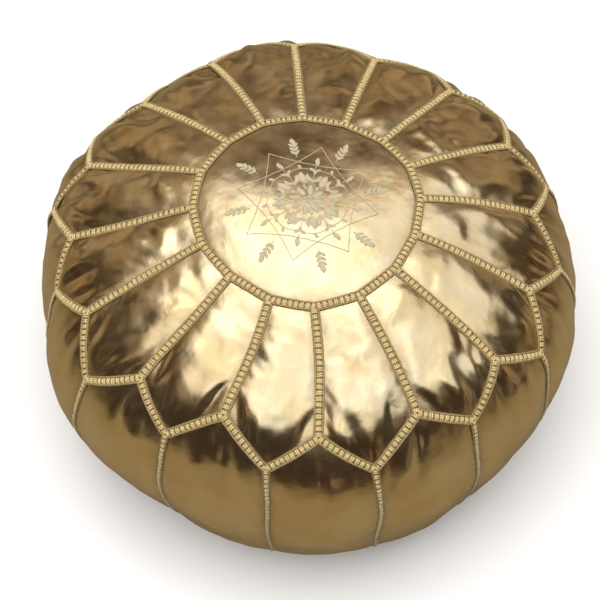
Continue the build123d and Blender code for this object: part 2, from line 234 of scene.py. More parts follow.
def on_body(azimuth, s, out=0.0):
    """Points of the body's surface, moved outwards by out, before the hand-made wobble."""
    r, z, tilt = section(s)
    reach = r + out * np.cos(tilt)
    return np.stack([reach * np.cos(azimuth), reach * np.sin(azimuth), z + out * np.sin(tilt)], -1)


def bisected(is_beyond, low, high):
    """Where, between low and high, is_beyond turns true."""
    for _ in range(40):
        mid = (low + high) / 2
        beyond = is_beyond(mid)
        high, low = np.where(beyond, mid, high), np.where(beyond, low, mid)
    return (low + high) / 2


def length_at_radius(radius, low, high):
    """The length down the outline, between low and high, where it is this far from the axis."""
    radius = np.asarray(radius, float)
    grows = section(high)[0] > section(low)[0]
    ends = np.full_like(radius, low), np.full_like(radius, high)
    return bisected(lambda s: (section(s)[0] > radius) == grows, *ends)


EQUATOR_S = ARC_LENGTHS[0] + ARC_LENGTHS[1] + FLANK_R * TURNS[2]
BASE_S = length_at_radius(BASE_R, EQUATOR_S, sum(ARC_LENGTHS))


def off_seam(azimuth, first):
    """How far an azimuth is from the nearest of the gore lines that start at first."""
    return np.abs((azimuth - first + HALF) % PITCH - HALF)


def off_way(azimuth, way):
    """How far an azimuth is from a way, the short way round."""
    return np.abs((azimuth - way + pi) % (2 * pi) - pi)


def ring_s(azimuth):
    """Length down the outline to the disc's edge: a sixteen-sided ring with bowed sides."""
    off = off_seam(azimuth, HALF)
    polygon = DISC_R * cos(HALF) / np.cos(off)
    return length_at_radius(polygon + (DISC_R - polygon) * RING_ROUNDNESS, 0.0, EQUATOR_S)


def zigzag_s(azimuth):
    """Length down the outline to the zigzag seam, in planes through the body's middle."""
    off = off_seam(azimuth, 0.0)
    middle = np.array([0.0, 0.0, EQUATOR_Z])
    valley = on_body(0.0, length_at_radius(VALLEY_R, 0.0, EQUATOR_S)) - middle
    tip = on_body(HALF, length_at_radius(TIP_R, 0.0, EQUATOR_S)) - middle
    normal = np.cross(valley, tip)
    normal *= np.sign(normal[2])
    ends = np.zeros_like(off), np.full_like(off, EQUATOR_S)
    level = bisected(lambda s: (on_body(off, s) - middle) @ normal < 0, *ends)
    return level + SLIP * np.exp(-((off_way(azimuth, SLIP_WAY) / SLIP_SPREAD) ** 2))


# ---- the hand-made wobble ----
def make_waves():
    """Slow sideways waves through space, the same on every run."""
    chance = np.random.RandomState(SEED)
    waves = []
    for _ in range(WOBBLE_WAVES):
        way = chance.normal(size=3)
        push = chance.normal(size=3)
        length = chance.uniform(*WOBBLE_LENGTHS)
        wave = way / np.linalg.norm(way) * 2 * pi / length
        waves.append((wave, push / sqrt(WOBBLE_WAVES), chance.uniform(0, 2 * pi)))
    return waves


WAVES = make_waves()


def wobbled(points):
    """Points moved as the stuffing and the stitching moved them.  The floor stays the floor."""
    points = np.asarray(points, float)
    azimuth = np.arctan2(points[..., 1], points[..., 0])
    radius = np.hypot(points[..., 0], points[..., 1])
    lift = np.clip(points[..., 2] / WOBBLE_FREE_Z, 0, 1)[..., None]
    moved = sum(np.sin(points @ wave + turn)[..., None] * push for wave, push, turn in WAVES) * WOBBLE
    swell = sum(high * np.cos(count * azimuth + radians(turn)) for count, high, turn in LUMPS)
    swell = swell * np.clip(radius / WIDE_R, 0, 1) ** 3
    out = np.stack([np.cos(azimuth), np.sin(azimuth), np.zeros_like(azimuth)], -1)
    flat = np.array([1.0, 1.0, 0.0])
    share = flat * np.clip(lift, FLOOR_SHARE, 1) + (1 - flat) * lift
    return points + (moved + out * swell[..., None]) * share


def outward_at(azimuth, s):
    return on_body(azimuth, s, 1.0) - on_body(azimuth, s)


def place(azimuth, s, out=0.0):
    """A point of the real cover: the wobbled surface, moved outwards."""
    return wobbled(on_body(azimuth, s)) + outward_at(azimuth, s) * np.asarray(out)[..., None]


def unit(vectors):
    return vectors / np.maximum(np.linalg.norm(vectors, axis=-1, keepdims=True), 1e-12)


def gone_along(points):
    """How far along its line each point is."""
    return np.linalg.norm(np.diff(points, axis=-2, prepend=points[..., :1, :]), axis=-1).cumsum(-1)


def eased(share):
    """A smooth step from 0 to 1."""
    share = np.clip(share, 0, 1)
    return share * share * (3 - 2 * share)


# ---- meshes ----
def noise_at(points):
    """Smooth noise at each of a set of points."""
    return np.array([noise.noise(Vector(q)) for q in points.reshape(-1, 3)]).reshape(points.shape[:-1])


def new_object(name, points, faces, smooth=True):
    mesh = bpy.data.meshes.new(name)
    mesh.from_pydata(np.asarray(points, float).tolist(), [], [list(face) for face in faces])
    mesh.polygons.foreach_set("use_smooth", [smooth] * len(mesh.polygons))
    made = bpy.data.objects.new(name, mesh)
    scene.collection.objects.link(made)
    return made


def store(piece, name, values):
    """Keeps a number or a triple for each point of a piece, for its material."""
    values = np.asarray(values, np.float32)
    kind, field = ("FLOAT", "value") if values.ndim == 1 else ("FLOAT_VECTOR", "vector")
    kept = piece.data.attributes.new(name, kind, "POINT")
    kept.data.foreach_set(field, values.ravel())


def grid_faces(rows, columns, closed=False):
    """Faces of a grid of points numbered row by row.  With closed, each row is a loop."""
    at = np.arange(rows * columns).reshape(rows, columns)
    if closed:
        at = np.concatenate([at, at[:, :1]], 1)
    quads = np.stack([at[:-1, :-1], at[1:, :-1], at[1:, 1:], at[:-1, 1:]], -1).reshape(-1, 4)
    return quads.tolist()


def grid_caps(rows, columns):
    """Triangles from a closed grid's first and last loops to the two points after its own."""
    ring = np.arange(columns)
    after = np.roll(ring, -1)
    last = (rows - 1) * columns
    first_cap = np.stack([np.full(columns, rows * columns), ring, after], -1)
    last_cap = np.stack([np.full(columns, rows * columns + 1), last + after, last + ring], -1)
    return np.concatenate([first_cap, last_cap])


def grid_border(rows, columns):
    """The border's point numbers, in order round the grid."""
    at = np.arange(rows * columns).reshape(rows, columns)
    return np.concatenate([at[0, :-1], at[:-1, -1], at[-1, :0:-1], at[:0:-1, 0]])


def assembled(piece, slot, *nodes):
    """Hangs a piece of the cover on the cover's body and hides the CAD nodes it stands for.  Its slot is
    not used.
    """
    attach(piece, "cover")
    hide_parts(*nodes)
    return piece


def leather_piece(name, points, outward, shape, turn_in, slot, *nodes):
    """A leather panel with real thickness, its edges turned in under the seams."""
    faces, border = grid_faces(*shape), grid_border(*shape)
    count, ring = len(points), len(border)
    turned = points[border] - outward[border] * turn_in
    after = np.roll(np.arange(ring), -1)
    rim = np.stack([border, border[after], count + after, count + np.arange(ring)], -1).tolist()
    piece = new_object(name, np.concatenate([points, turned]), faces + rim)
    gaps = np.stack([np.linalg.norm(points - points[i], axis=1) for i in border[::2]]).min(0)
    # The seam value marks where soil and painted shade darken a panel near its edges.
    store(piece, "seam", np.concatenate([np.exp(-gaps / SOIL_AND_SHADE_REACH), np.ones(ring)]))
    thick = piece.modifiers.new("leather", "SOLIDIFY")
    thick.thickness = LEATHER
    thick.offset = -1
    smooth = piece.modifiers.new("smooth", "SUBSURF")
    smooth.levels = smooth.render_levels = 1
    assembled(piece, slot, *nodes)
    return piece


# ---- the cover's panels ----
class Panel:
    """One leather panel: a grid of points inside its seams, and the larger shape it was cut to."""

    def __init__(self, name, node, azimuth, s, middle):
        self.name, self.node = name, node
        self.shape = azimuth.shape
        self.s, self.middle = s, middle
        self.sewn = self.points = place(azimuth, s, -SEAM_SINK)
        self.outward = outward_at(azimuth, s)
        self.cut = self.points.copy()
        self.folds = np.zeros(azimuth.shape)

    def flat(self, values):
        return values.reshape(-1, 3) if values.ndim == 3 else values.ravel()


def softened(out, steps):
    """A height over a panel with its short waves smoothed away, and its border held."""
    for _ in range(steps):
        near = np.pad(out, 1)
        out = (near[:-2, 1:-1] + near[2:, 1:-1] + near[1:-1, :-2] + near[1:-1, 2:]) / 4
        out[[0, -1]], out[:, [0, -1]] = 0, 0
    return out


def settle(alike, swells, dented):
    """Holds the swelling that alike panels share below each one's limit, and dents them."""
    rises = [((p.points - p.sewn) * p.outward).sum(-1) for p in alike]
    shared = np.mean(rises, axis=0)
    smooth = softened(shared, SWELL_STEPS)
    for p, swell, out in zip(alike, swells, rises):
        own = RELIEF * softened(out - shared, PUCKER_STEPS)
        held = swell * np.tanh(smooth / swell) + FOLD_LIMIT * np.tanh(own / FOLD_LIMIT)
        for scale, depth in DENTS:
            held = held + noise_at(p.points * scale) * depth * dented * p.middle
        p.points = p.points + p.outward * (held - out)[..., None]


def fold(across, down, start, way, length, width, height):
    """One long fold, highest where it leaves the seam."""
    heading_to = np.array([sin(radians(way)), cos(radians(way))])
    dx, dy = across - start[0], down - start[1]
    along = (dx * heading_to[0] + dy * heading_to[1]) / length
    aside = dx * heading_to[1] - dy * heading_to[0]
    spread = width * (FOLD_START + FOLD_FAN * np.clip(along, 0, 1))
    behind = np.exp(-((along * length / width) ** 2))
    run = np.where(along < 0, behind, np.clip(1 - along, 0, 1) ** FOLD_FADE)
    return height * run * np.exp(-((aside / spread) ** 2))


def petal_change(v):
    """How much of the top's spare leather a petal has at v down it."""
    return 1 - eased((v - PETAL_CHANGE_FROM) / PETAL_CHANGE_OVER)


def side_change(v):
    """How much of the top's spare leather a side panel has at v down it."""
    return np.clip(1 - v / SIDE_CHANGE_OVER, 0, 1)


def gore(kind, k, chance):
    """Panel k of a kind, between two seams down the body and the kind's top and bottom seams."""
    rows, columns = kind.grid
    centre = (k + kind.first) * PITCH
    u, v = np.meshgrid(np.linspace(-1, 1, columns), np.linspace(0, 1, rows) ** kind.crowded)
    rough = centre + u * HALF
    high, low = kind.top(rough) + SEAM_GAP, kind.bottom(rough) - SEAM_GAP
    s = high + v * (low - high)
    azimuth = centre + u * (HALF - SEAM_GAP / section(s)[0])
    label, node = (f"{what}_{k + 1:02d}" for what in (kind.label, kind.node))
    panel = Panel(label, node, azimuth, s, (1 - u**2) * (1 - (2 * v - 1) ** 6))
    across = (azimuth - centre) * section(s)[0]
    (wide_top, wide_low), (long_top, long_low) = kind.spare
    fade = kind.change(v)
    extra = np.cumsum((long_low + (long_top - long_low) * fade) * np.gradient(s, axis=0), axis=0)
    sideways = np.array([-sin(centre), cos(centre), 0.0])
    panel.cut += on_body(azimuth, s + extra) - on_body(azimuth, s)
    panel.cut += (across * (wide_low + (wide_top - wide_low) * fade))[..., None] * sideways
    add_folds(panel, across, kind, chance)
    return panel


def add_folds(panel, across, kind, chance):
    """Folds the panel where its kind's rows of folds allow, up or down by chance."""
    rows, columns = kind.grid
    for (limits_u, limits_v), count, (way, sway), lengths, widths, heights in kind.folds:
        for _ in range(count):
            at_u, at_v = chance.uniform(*limits_u), chance.uniform(*limits_v)
            hand = chance.choice([-1, 1]) if limits_u[0] == limits_u[1] else 1
            row = round(at_v ** (1 / kind.crowded) * (rows - 1))
            column = round((at_u * hand + 1) / 2 * (columns - 1))
            start = across[row, column], panel.s[row, column]
            turn = way * hand + chance.uniform(-sway, sway)
            height = chance.uniform(*heights) * chance.choice([-1, 1])
            length, width = chance.uniform(*lengths), chance.uniform(*widths)
            panel.folds += fold(across, panel.s, start, turn, length, width, height)


# Folds: where they start (across from -1 to 1, down from 0 to 1), how many, which way they run (0 is
# down the panel, and by how much that varies), and the limits of length, width and height.
PETAL_FOLDS = (
    (((-0.9, 0.9), (1.0, 1.0)), 5, (180, 28), (0.030, 0.080), (0.0038, 0.0080), (0.0024, 0.0050)),
    (((1.0, 1.0), (0.25, 0.95)), 4, (232, 32), (0.035, 0.080), (0.0034, 0.0060), (0.0028, 0.0052)),
    (((-0.8, 0.8), (0.0, 0.0)), 2, (0, 14), (0.035, 0.070), (0.0040, 0.0070), (0.0008, 0.0018)),
)
SIDE_FOLDS = (
    (((-0.95, 0.95), (0.0, 0.0)), 7, (0, 26), (0.030, 0.085), (0.0035, 0.0075), (0.0026, 0.0056)),
    (((1.0, 1.0), (0.03, 0.45)), 4, (315, 28), (0.020, 0.055), (0.0030, 0.0060), (0.0018, 0.0036)),
)


def base_s(azimuth):
    return np.full_like(azimuth, BASE_S)


Kind = namedtuple("Kind", "label node first top bottom grid crowded spare change folds")
PETALS = Kind(
    "petal", "crown_petal", 0.5, ring_s, zigzag_s, PETAL_GRID, 1.0, PETAL_SPARE, petal_change, PETAL_FOLDS
)
SIDES = Kind(
    "side", "side_panel", 0, zigzag_s, base_s, SIDE_GRID, SIDE_CROWDED, SIDE_SPARE, side_change, SIDE_FOLDS
)


def disc():
    """The top disc: a square grid drawn out to the ring's shape."""
    ticks = np.linspace(-1, 1, DISC_GRID)
    a, b = np.meshgrid(ticks, ticks, indexing="ij")
    wide = np.abs(a) > np.abs(b)
    reach = np.where(wide, a, b)
    safe = np.where(reach == 0, 1, reach)
    turn = np.where(wide, pi / 4 * b / safe, pi / 2 - pi / 4 * a / safe)
    azimuth = np.where(reach < 0, turn + pi, turn)
    s = np.abs(reach) * (ring_s(azimuth) - SEAM_GAP)
    panel = Panel("disc", "top_disc", azimuth, s, (1 - a**6) * (1 - b**6))
    panel.cut = panel.points * (1 + DISC_SPARE)
    return panel


def cloth_of(p, chance):
    """The panel as cut, with its folds, as cloth that is then drawn in to its seams."""
    points, outward = p.flat(p.points), p.flat(p.outward)
    shift = chance.uniform(0, 100, 3)
    ripple = noise_at(points * RIPPLE_SCALE + shift) * RIPPLE
    raised = outward * ((ripple + p.flat(p.folds)) * p.flat(p.middle))[:, None]
    piece = new_object(p.name + "_sim", p.flat(p.cut) + raised, grid_faces(*p.shape))
    pin = piece.vertex_groups.new(name="pin")
    pin.add([int(i) for i in grid_border(*p.shape)], 1.0, "REPLACE")
    piece.shape_key_add(name="cut")
    sewn = piece.shape_key_add(name="sewn")
    sewn.data.foreach_set("co", (points + raised).ravel())
    for step, share in ((1, 0.0), (SEWN_BY, 1.0)):
        sewn.value = share
        sewn.keyframe_insert("value", frame=step)
    cloth = piece.modifiers.new("cloth", "CLOTH")
    for key, value in CLOTH.items():
        setattr(cloth.settings, key, value)
    cloth.settings.vertex_group_mass = "pin"
    cloth.settings.effector_weights.gravity = 0
    cloth.point_cache.frame_end = SIM_FRAMES
    return piece


def simulate(panels):
    """Blows the panels up against their pinned seams, so that the spare leather puckers."""
    chance = np.random.RandomState(SEED)
    cloths = [cloth_of(p, chance) for p in panels]
    for step in range(1, SIM_FRAMES + 1):
        scene.frame_set(step)
    graph = bpy.context.evaluated_depsgraph_get()
    for p, piece in zip(panels, cloths):
        settled = piece.evaluated_get(graph).data
        co = np.empty(len(settled.vertices) * 3)
        settled.vertices.foreach_get("co", co)
        p.points = co.reshape(p.points.shape)
        mesh = piece.data
        bpy.data.objects.remove(piece)
        bpy.data.meshes.remove(mesh)
    scene.frame_set(1)


panels = [
    gore(kind, k, np.random.RandomState(SEED + i * GORES + k))
    for i, kind in enumerate((PETALS, SIDES))
    for k in range(GORES)
]
panels.append(disc())
simulate(panels)
settle(panels[:GORES], PETAL_SWELLS, 1.0)
settle(panels[GORES:-1], [SIDE_SWELL] * GORES, 1.0)
settle(panels[-1:], [DISC_SWELL], DISC_DENTS)
covers = []
for p in panels:
    p.points[..., 2] = np.maximum(p.points[..., 2], FLOOR_GAP)
    skin = p.flat(p.points), p.flat(p.outward), p.shape
    covers.append(leather_piece(p.name, *skin, TURN_IN, "foil_leather", p.node))


# ---- thread ----
AROUND = 6


def tubes(centres, sideways, upwards, half_w, half_h, shades=(1.0,)):
    """Closed oval tubes: their points, faces and strand values.  A shade of 1 is fully lit, and a lower one
    paints the thread darker with painted shade.
    """
    n, m = centres.shape[:2]
    turn = np.arange(AROUND) * 2 * pi / AROUND
    round_w = np.cos(turn) * half_w[..., None]
    round_h = np.sin(turn) * half_h[..., None]
    skin = centres[:, :, None] + round_w[..., None] * sideways[:, :, None]
    skin = skin + round_h[..., None] * upwards[:, :, None]
    along = gone_along(centres)
    strand = np.empty((n, m, AROUND, 3))
    bright = np.asarray(shades)[:, None, None]
    strand[..., 0], strand[..., 1] = np.cos(turn) * bright, np.sin(turn) * bright
    strand[..., 2] = along[..., None]
    ends = centres[:, [0, -1]]
    end_strand = np.zeros((n, 2, 3))
    end_strand[:, 1, 2] = along[:, -1]
    each = m * AROUND + 2
    points = np.concatenate([skin.reshape(n, -1, 3), ends], 1).reshape(-1, 3)
    strands = np.concatenate([strand.reshape(n, -1, 3), end_strand], 1).reshape(-1, 3)
    walls = np.array(grid_faces(m, AROUND, closed=True))[:, ::-1]
    starts = (np.arange(n) * each)[:, None, None]
    quads = (walls[None] + starts).reshape(-1, 4).tolist()
    caps = (grid_caps(m, AROUND)[None, :, ::-1] + starts).reshape(-1, 3).tolist()
    return points, quads + caps, strands


def thread_piece(name, parts, slot, *nodes):
    """One object from several sets of tubes."""
    points, faces, strands, count = [], [], [], 0
    for part_points, part_faces, part_strands in parts:
        faces += [[i + count for i in face] for face in part_faces]
        points.append(part_points)
        strands.append(part_strands)
        count += len(part_points)
    piece = new_object(name, np.concatenate(points), faces)
    store(piece, "strand", np.concatenate(strands))
    return assembled(piece, slot, *nodes)


def stations(azimuth, s, seat, pitch, inset):
    """Even places along a seam, inset by a share of the pitch, and the ways along, across and out."""
    line = place(azimuth, s, np.linspace(*seat, len(s)))
    out = outward_at(azimuth, s)
    gone = gone_along(line)
    count = max(4, round(gone[-1] / pitch))
    at = (np.arange(count) + inset) * gone[-1] / (count - 1 + 2 * inset)
    spread = [np.stack([np.interp(at, gone, part) for part in whole.T], -1) for whole in (line, out)]
    centre, upwards = spread
    forward = unit(np.gradient(centre, axis=0))
    across = unit(np.cross(forward, unit(upwards)))
    return centre, forward, across, np.cross(across, forward)


def rungs(azimuth, s, width, seat, shade, chance):
    """The rungs of doubled thread across a seam, with each one's place along it and width."""
    centre, forward, across, upwards = stations(azimuth, s, seat, RUNG_PITCH, 0.5)
    n = len(centre)
    reach = np.sin(np.linspace(-pi / 2, pi / 2, 5))
    share = np.linspace(0, 1, n)
    wide = np.interp(share, np.linspace(0, 1, len(width)), width) * chance.uniform(*RUNG_WIDTHS, n)
    wander = RUNG_WANDER * np.sin(np.arange(n) * WANDER_TURN + chance.uniform(0, 6))
    wander = wander + chance.normal(0, RUNG_SLIP, n)
    along = across + forward * chance.normal(0, RUNG_SLANT, n)[:, None]
    drop = (-RUNG_DROP * np.abs(reach) ** RUNG_ARCH)[None, :, None]
    taper = np.sqrt(np.clip(1 - np.abs(reach) ** 5 * RUNG_TAPER, 0, 1))[None]
    ahead = np.repeat(forward[:, None], len(reach), 1)
    above = np.repeat(upwards[:, None], len(reach), 1)
    parts = []
    for strand in range(RUNG_STRANDS):
        step = (strand - (RUNG_STRANDS - 1) / 2) * STRAND_PITCH + chance.normal(0, STRAND_SLIP, n)
        off = (reach[None] * wide[:, None] / 2 + wander[:, None])[..., None]
        lift = chance.normal(0, STRAND_SLIP, n)[:, None, None]
        middles = (centre + forward * step[:, None])[:, None] + along[:, None] * off
        middles = middles + above * (drop + lift)
        thick = STRAND_R * taper * chance.uniform(*STRAND_SIZES, n)[:, None]
        # The run's shade, from its start to its end, paints the rungs darker: painted shade.
        parts.append(tubes(middles, ahead, above, thick, thick, np.interp(share, (0, 1), shade)))
    return parts, share, wide


def rails_and_bed(azimuth, s, seat, shade, share, wide):
    """The rail down each side of the rungs, and the flat bed of thread below them."""
    where, _, aside, up = stations(azimuth, s, seat, RUNG_PITCH / 2, 0.0)
    count = len(where)
    half = np.interp(np.linspace(0, 1, count), share, wide) / 2
    size = (RAIL_R * (1 + RAIL_PULSE * np.cos(np.arange(count) * pi)))[None]
    parts = []
    # Painted shade: the rails get SHUT_IN_SHADE times the run's mean shade, and the bed gets SHUT_IN_SHADE.
    for way in (-1, 1):
        line = where + aside * (way * (half + RAIL_R * RAIL_OFF))[:, None] - up * RUNG_DROP * RAIL_DROP
        parts.append(tubes(line[None], aside[None], up[None], size, size, [SHUT_IN_SHADE * sum(shade) / 2]))
    bed = (where - up * RUNG_DROP * BED_DROP)[None]
    flat = (half - RAIL_R * 0.5)[None], np.full((1, count), BED_H)
    parts.append(tubes(bed, aside[None], up[None], *flat, [SHUT_IN_SHADE]))
    return parts


def braid(name, node, runs, width, seat=(BRAID_SEAT, BRAID_SEAT), shade=(1.0, 1.0)):
    """All the runs of one braid.  Its width and shade are given at places evenly along a run."""
    chance = np.random.RandomState(SEED + len(name))
    parts = []
    for azimuth, s in runs:
        crosswise, share, wide = rungs(azimuth, s, width, seat, shade, chance)
        parts += crosswise + rails_and_bed(azimuth, s, seat, shade, share, wide)
    return thread_piece(name, parts, "braid_thread", node)


RUN_STEPS = 60
whole_turn = np.linspace(0, 2 * pi, RUN_STEPS * 20)
radial_runs, zigzag_runs, side_runs = [], [], []
for k in range(GORES):
    seam = k * PITCH
    tip = (k + 0.5) * PITCH
    from_s, to_s = ring_s(np.array([seam]))[0], zigzag_s(np.array([seam]))[0]
    radial_runs.append((np.full(RUN_STEPS, seam), np.linspace(from_s + BRAID_W / 4, to_s, RUN_STEPS)))
    for end in (seam, seam + PITCH):
        turn = np.linspace(end, tip, RUN_STEPS)
        zigzag_runs.append((turn, zigzag_s(turn)))
    tip_s = zigzag_s(np.array([tip]))[0]
    down = np.linspace(tip_s, BASE_S - BRAID_W / 4, RUN_STEPS * 2)
    side_runs.append((np.full_like(down, tip), down))

ring_runs = [(whole_turn, ring_s(whole_turn))]
base_runs = [(whole_turn, np.full_like(whole_turn, BASE_S))]
braids = [
    braid("disc_ring_braid_thread", "disc_ring_braid", ring_runs, (BRAID_W, BRAID_W)),
    braid("radial_braid_thread", "radial_braids", radial_runs, (BRAID_W * 0.94, BRAID_W, BRAID_W)),
    braid("zigzag_braid_thread", "zigzag_braids", zigzag_runs, (BRAID_W, BRAID_W * 0.96)),
    braid("side_braid_thread", "side_braids", side_runs, SIDE_BRAID_W, SIDE_BRAID_SEAT, SIDE_BRAID_SHADE),
    braid("base_seam_thread", "base_seam_braid", base_runs, BASE_BRAID_W, shade=BASE_BRAID_SHADE),
]


# ---- embroidery ----
POINTS = 8
STEP = 2 * pi / POINTS
STAR_TURN = radians(-14.5)
STAR_R = 0.064
STAR_BEND_R = 0.041
STEM_FROM_R = 0.037
SPRIG_FROM_R = 0.052
SPRIG_L = 0.020
SPRIG_STEP = 0.0045
SPRIG_LEAN = 0.72
HOOP_R = 0.0365
HOOP_HALF = 0.30
STAMEN = (0.0185, 0.0300)
HOOP_SAG = 0.02
SEPAL_TURN = 0.16
SIDE_LEAN = 0.75
MORE_LEAN = 1.4
SPRIG_SWAY = 0.03
SPRIG_SLIP = 0.0006
STEM_SHORT = 0.003
SATIN_PITCH = 0.00078
# A leaf's outline: how near its root it is widest, how full it is, and its least half width.
LEAF_SKEW = 0.85
LEAF_FULL = 0.8
LEAF_LEAST = 0.0003
LEAF_SLANT = 0.55
# Leaves: how far from the middle one starts, its length and its width.
STAR_LEAF = (0.0415, 0.0085, 0.0042)
BUTTON_LEAF = (0.0008, 0.0042, 0.0026)
BUTTON_LEAVES = 5
INNER_PETAL = (0.0055, 0.0110, 0.0058)
INNER_GAP_LEAF = (0.0120, 0.0055, 0.0026)
OUTER_PETAL = (0.0185, 0.0135, 0.0080)
SEPAL = (0.0215, 0.0085, 0.0032)
BUD = (0.0300, 0.0050, 0.0034)
HOOP_BUD = (0.0372, 0.0038, 0.0034)
LOW_LEAF = (0.0205, 0.0055, 0.0026)
HIGH_LEAF = (0.0335, 0.0060, 0.0028)
# The same for a sprig's leaves, from the start of its stem.
SIDE_LEAF = (0.0035, 0.0062, 0.0024)
TIP_LEAF = (SPRIG_L - 0.005, 0.0085, 0.0052)

disc_piece = covers[-1]
disc_skin = BVHTree.FromObject(disc_piece, bpy.context.evaluated_depsgraph_get())


def on_disc(spots):
    """Points of the plan laid on the disc's leather, and the ways out of it."""
    found = [disc_skin.ray_cast(Vector((x, y, 1.0)), Vector((0, 0, -1))) for x, y in spots]
    return np.array([hit[0] for hit in found]), np.array([hit[1] for hit in found])


def stitches(starts, ends, chance):
    """Arched stitches on the disc, their ends pulled into the leather."""
    t = np.linspace(0, 1, 5)
    starts, ends = np.asarray(starts), np.asarray(ends)
    plan = starts[:, None] + (ends - starts)[:, None] * t[None, :, None]
    where, out = on_disc(plan.reshape(-1, 2))
    shape = plan.shape[:2] + (3,)
    where, out = where.reshape(shape), unit(out.reshape(shape))
    arch = STITCH_R * (STITCH_ARCH * np.sin(pi * t) - STITCH_TUCK)[None, :, None]
    forward = unit(np.gradient(where, axis=1))
    aside = unit(np.cross(forward, out))
    size = STITCH_R * (STITCH_END + (1 - STITCH_END) * np.sin(pi * t))[None]
    size = size * chance.uniform(*STITCH_SIZES, len(plan))[:, None]
    return tubes(where + out * arch, aside, np.cross(aside, forward), size, size)


def stitched_line(path, chance):
    """A line of back stitches along a path of the plan."""
    path = np.asarray(path)
    gone = gone_along(path)
    count = max(1, round(gone[-1] / STITCH_L))
    at = np.linspace(0, gone[-1], count + 1)
    spots = np.stack([np.interp(at, gone, path[:, i]) for i in range(2)], -1)
    spots = spots + chance.normal(0, STITCH_SLIP, spots.shape)
    return stitches(spots[:-1], spots[1:], chance)


def polar(radius, azimuth):
    return np.array([radius * cos(azimuth), radius * sin(azimuth)])


def leaf(size, azimuth, chance, from_r=0.0, lean=0.0):
    """A pointed leaf of slanting stitches, that starts on an azimuth and leans away from it."""
    root, length, width = size
    ahead = polar(1.0, azimuth + lean)
    aside = np.array([-ahead[1], ahead[0]])
    count = round(length / SATIN_PITCH)
    t = (np.arange(count) + 0.5) / count
    half = width / 2 * np.sin(pi * t ** LEAF_SKEW) ** LEAF_FULL + LEAF_LEAST
    middle = polar(from_r + root, azimuth) + ahead * (t * length)[:, None]
    slant = ahead * (half * LEAF_SLANT)[:, None]
    return stitches(middle - aside * half[:, None] - slant, middle + aside * half[:, None] + slant, chance)


def star_parts(chance):
    """Two four-pointed stars with hollow sides, with a leaf and a stem in each point."""
    parts = []
    t = np.linspace(0, 1, 24)[:, None]
    for k in range(POINTS):
        first = STAR_TURN + k * STEP
        tip, after = polar(STAR_R, first), polar(STAR_R, first + pi / 2)
        bend = 2 * polar(STAR_BEND_R, first + pi / 4) - (tip + after) / 2
        parts += [
            stitched_line(tip * (1 - t) ** 2 + 2 * bend * t * (1 - t) + after * t**2, chance),
            leaf(STAR_LEAF, first, chance),
            stitched_line([polar(STEM_FROM_R, first), polar(STAR_LEAF[0], first)], chance),
        ]
    return parts


def sprig_parts(chance):
    """A sprig between each two star points: a stem, paired leaves and a bud."""
    parts = []
    for k in range(POINTS):
        way = STAR_TURN + (k + 0.5) * STEP + chance.normal(0, SPRIG_SWAY)
        root = SPRIG_FROM_R + chance.normal(0, SPRIG_SLIP)
        parts.append(stitched_line([polar(root, way), polar(root + SPRIG_L - STEM_SHORT, way)], chance))
        for step in range(3):
            for lean in (-SPRIG_LEAN, SPRIG_LEAN):
                parts.append(leaf(SIDE_LEAF, way, chance, root + SPRIG_STEP * step, lean))
        parts.append(leaf(TIP_LEAF, way, chance, root))
    return parts


def rosette_parts(chance):
    """The flower in the middle: a button, two rings of petals, and leaves and buds round them."""
    parts = []
    turn = np.linspace(-HOOP_HALF, HOOP_HALF, 12)
    for k in range(POINTS):
        way = STAR_TURN + k * STEP
        between = way + STEP / 2
        parts += [
            leaf(INNER_PETAL, way, chance),
            leaf(OUTER_PETAL, between, chance),
            *(leaf(SEPAL, way + off, chance, lean=off * MORE_LEAN) for off in (-SEPAL_TURN, SEPAL_TURN)),
            stitched_line([polar(r, way) for r in STAMEN], chance),
            leaf(BUD, way, chance),
            stitched_line([polar(HOOP_R - HOOP_SAG * a**2, between + a) for a in turn], chance),
            leaf(HOOP_BUD, between, chance),
            leaf(INNER_GAP_LEAF, between, chance),
        ]
        for lean in (-SIDE_LEAN, SIDE_LEAN):
            parts.append(leaf(LOW_LEAF, way, chance, lean=lean))
            parts.append(leaf(HIGH_LEAF, way, chance, lean=lean * MORE_LEAN))
    for k in range(BUTTON_LEAVES):
        parts.append(leaf(BUTTON_LEAF, k * 2 * pi / BUTTON_LEAVES, chance))
    return parts


EMBROIDERY = {"star": star_parts, "sprig": sprig_parts, "rosette": rosette_parts}
threads = []
for i, (name, make) in enumerate(EMBROIDERY.items()):
    parts = make(np.random.RandomState(SEED + i))
    threads.append(thread_piece(f"{name}_thread", parts, "embroidery_thread", f"{name}_embroidery"))


# ---- base ----
BASE_GRID = (90, 44)
BASE_TURN = radians(88.5)
# The slot's ends are rounded over this length, and the halves nearly meet beyond it.
SLOT_END_L = 0.006
MEETING_GAP = 0.00035
EDGE_TUCK = 0.0035
CREASE_H = 0.0009
CREASE_SCALE = np.array([5, 14, 3.0])
CREASE_FADE = 0.01
# The channel is at its full depth this far inside its outline, and slopes over this width.
CHANNEL_INSET = 0.0045
CHANNEL_SLOPE = 0.0055
BASE_TURN_IN = 0.0012


def beyond_channel(x, y):
    """How far a point of the plan is outside the zip's channel, less than 0 inside it."""
    out_x = np.abs(x) - CHANNEL_HALF_W + CHANNEL_CORNER_R
    out_y = np.abs(y) - CHANNEL_HALF_L + CHANNEL_CORNER_R
    outside = np.hypot(np.clip(out_x, 0, None), np.clip(out_y, 0, None))
    return outside + np.minimum(np.maximum(out_x, out_y), 0) - CHANNEL_CORNER_R


